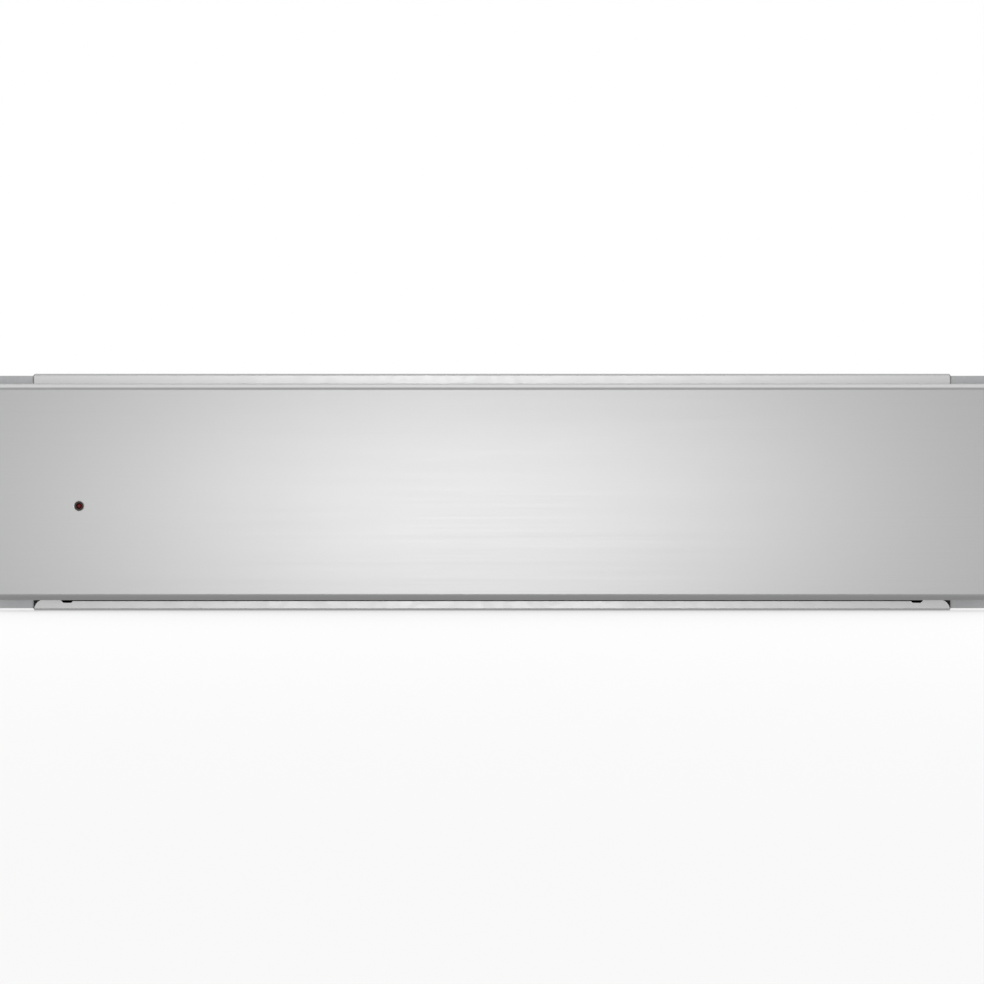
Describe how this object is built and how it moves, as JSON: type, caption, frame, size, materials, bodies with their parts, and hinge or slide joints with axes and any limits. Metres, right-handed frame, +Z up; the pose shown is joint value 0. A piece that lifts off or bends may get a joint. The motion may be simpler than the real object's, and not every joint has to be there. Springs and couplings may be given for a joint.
{
  "type": "warming drawer",
  "caption": "Built-in warming drawer with a plain stainless push-to-open front, a sheet-steel housing, full-extension ball-bearing runners, a heated glass floor and a fan heater.",
  "frame": {"origin": "middle of the overall footprint, on the shelf that the housing stands on", "axes": "+X to the right as seen from the front, +Y from the front to the rear, +Z up"},
  "size_m": [0.595, 0.545, 0.14],
  "materials": {
    "front_stainless": "horizontal fine brushing",
    "drawer_stainless": "satin",
    "galvanised_steel": "smooth zinc-coated sheet",
    "runner_steel": "zinc-plated and clear-passivated",
    "ball_steel": "polished",
    "black_plastic": "fine matt",
    "grey_plastic": "fine matt",
    "cam_plastic": "natural acetal",
    "red_lens": "clear red",
    "green_rocker": "clear green",
    "rubber": "matt",
    "silicone": "matt with raised pips",
    "dark_glass": "polished toughened glass",
    "fibre_board": "pressed mineral fibre",
    "heater_foil": "polyimide film over foil",
    "heater_tube": "oxidised tube",
    "motor_iron": "laminated sheet",
    "coil_tape": "winding tape"
  },
  "bodies": {
    "housing": {"base_plate": "galvanised_steel", "top_cover": "galvanised_steel", "rear_wall": "galvanised_steel", "left_side_wall": "galvanised_steel", "right_side_wall": "galvanised_steel", "left_upper_bumper": "rubber", "left_lower_bumper": "rubber", "right_upper_bumper": "rubber", "right_lower_bumper": "rubber", "cable_gland": "black_plastic", "terminal_box": "grey_plastic", "left_fixed_rail": "runner_steel", "right_fixed_rail": "runner_steel", "latch_post": "runner_steel"},
    "drawer": {"front_panel": "front_stainless", "front_backing": "galvanised_steel", "indicator_bezel": "black_plastic", "indicator_lens": "red_lens", "indicator_lamp_holder": "grey_plastic", "drawer_floor": "drawer_stainless", "drawer_front_wall": "drawer_stainless", "drawer_rear_wall": "drawer_stainless", "left_drawer_wall": "drawer_stainless", "right_drawer_wall": "drawer_stainless", "air_baffle": "drawer_stainless", "insulation_board": "fibre_board", "heating_pad": "heater_foil", "glass_plate": "dark_glass", "anti_slip_mat": "silicone", "motor_plate": "galvanised_steel", "motor_stack": "motor_iron", "motor_coil": "coil_tape", "bearing_bridge": "runner_steel", "heater_ring": "heater_tube", "control_console": "drawer_stainless", "thermostat": "grey_plastic", "switch_frame": "black_plastic", "latch_cam": "cam_plastic", "left_drawer_rail": "runner_steel", "right_drawer_rail": "runner_steel"},
    "left_middle": {"left_middle_rail": "runner_steel"},
    "right_middle": {"right_middle_rail": "runner_steel"},
    "left_outer_cage": {"left_outer_ball_cage": "ball_steel"},
    "right_outer_cage": {"right_outer_ball_cage": "ball_steel"},
    "left_inner_cage": {"left_inner_ball_cage": "ball_steel"},
    "right_inner_cage": {"right_inner_ball_cage": "ball_steel"},
    "knob": {"thermostat_knob": "black_plastic", "thermostat_spindle": "runner_steel"},
    "rocker": {"switch_rocker": "green_rocker"},
    "fan": {"fan_impeller": "grey_plastic", "fan_rotor": "runner_steel"},
    "latch_lever": {"latch_arm": "runner_steel"}
  },
  "joints": [
    {"name": "drawer_slide", "type": "slide", "parent": "housing", "child": "drawer", "axis": [0, -1, 0], "range_m": [-0.003, 0.4]},
    {"name": "left_middle_slide", "type": "slide", "parent": "housing", "child": "left_middle", "axis": [0, -1, 0], "range_m": [-0.0015, 0.2]},
    {"name": "right_middle_slide", "type": "slide", "parent": "housing", "child": "right_middle", "axis": [0, -1, 0], "range_m": [-0.0015, 0.2]},
    {"name": "left_outer_cage_slide", "type": "slide", "parent": "housing", "child": "left_outer_cage", "axis": [0, -1, 0], "range_m": [-0.00075, 0.1]},
    {"name": "right_outer_cage_slide", "type": "slide", "parent": "housing", "child": "right_outer_cage", "axis": [0, -1, 0], "range_m": [-0.00075, 0.1]},
    {"name": "left_inner_cage_slide", "type": "slide", "parent": "housing", "child": "left_inner_cage", "axis": [0, -1, 0], "range_m": [-0.00225, 0.3]},
    {"name": "right_inner_cage_slide", "type": "slide", "parent": "housing", "child": "right_inner_cage", "axis": [0, -1, 0], "range_m": [-0.00225, 0.3]},
    {"name": "knob_turn", "type": "hinge", "parent": "drawer", "child": "knob", "pos_m": [0.20965, -0.2254, 0.104], "axis": [0, 0, -1], "range_deg": [0, 270]},
    {"name": "rocker_tilt", "type": "hinge", "parent": "drawer", "child": "rocker", "pos_m": [0.13965, -0.2254, 0.1008], "axis": [-1, 0, 0], "range_deg": [0, 16]},
    {"name": "fan_spin", "type": "hinge", "parent": "drawer", "child": "fan", "pos_m": [0, 0.155, 0.06655], "axis": [0, 1, 0], "continuous": true},
    {"name": "latch_swing", "type": "hinge", "parent": "housing", "child": "latch_lever", "pos_m": [0, 0.212, 0.0055], "axis": [0, 0, 1], "range_deg": [-8, 8]}
  ],
  "couplings": [
    {"joint": "left_middle_slide", "follows": "drawer_slide", "ratio": 0.5},
    {"joint": "right_middle_slide", "follows": "drawer_slide", "ratio": 0.5},
    {"joint": "left_outer_cage_slide", "follows": "drawer_slide", "ratio": 0.25},
    {"joint": "right_outer_cage_slide", "follows": "drawer_slide", "ratio": 0.25},
    {"joint": "left_inner_cage_slide", "follows": "drawer_slide", "ratio": 0.75},
    {"joint": "right_inner_cage_slide", "follows": "drawer_slide", "ratio": 0.75}
  ]
}
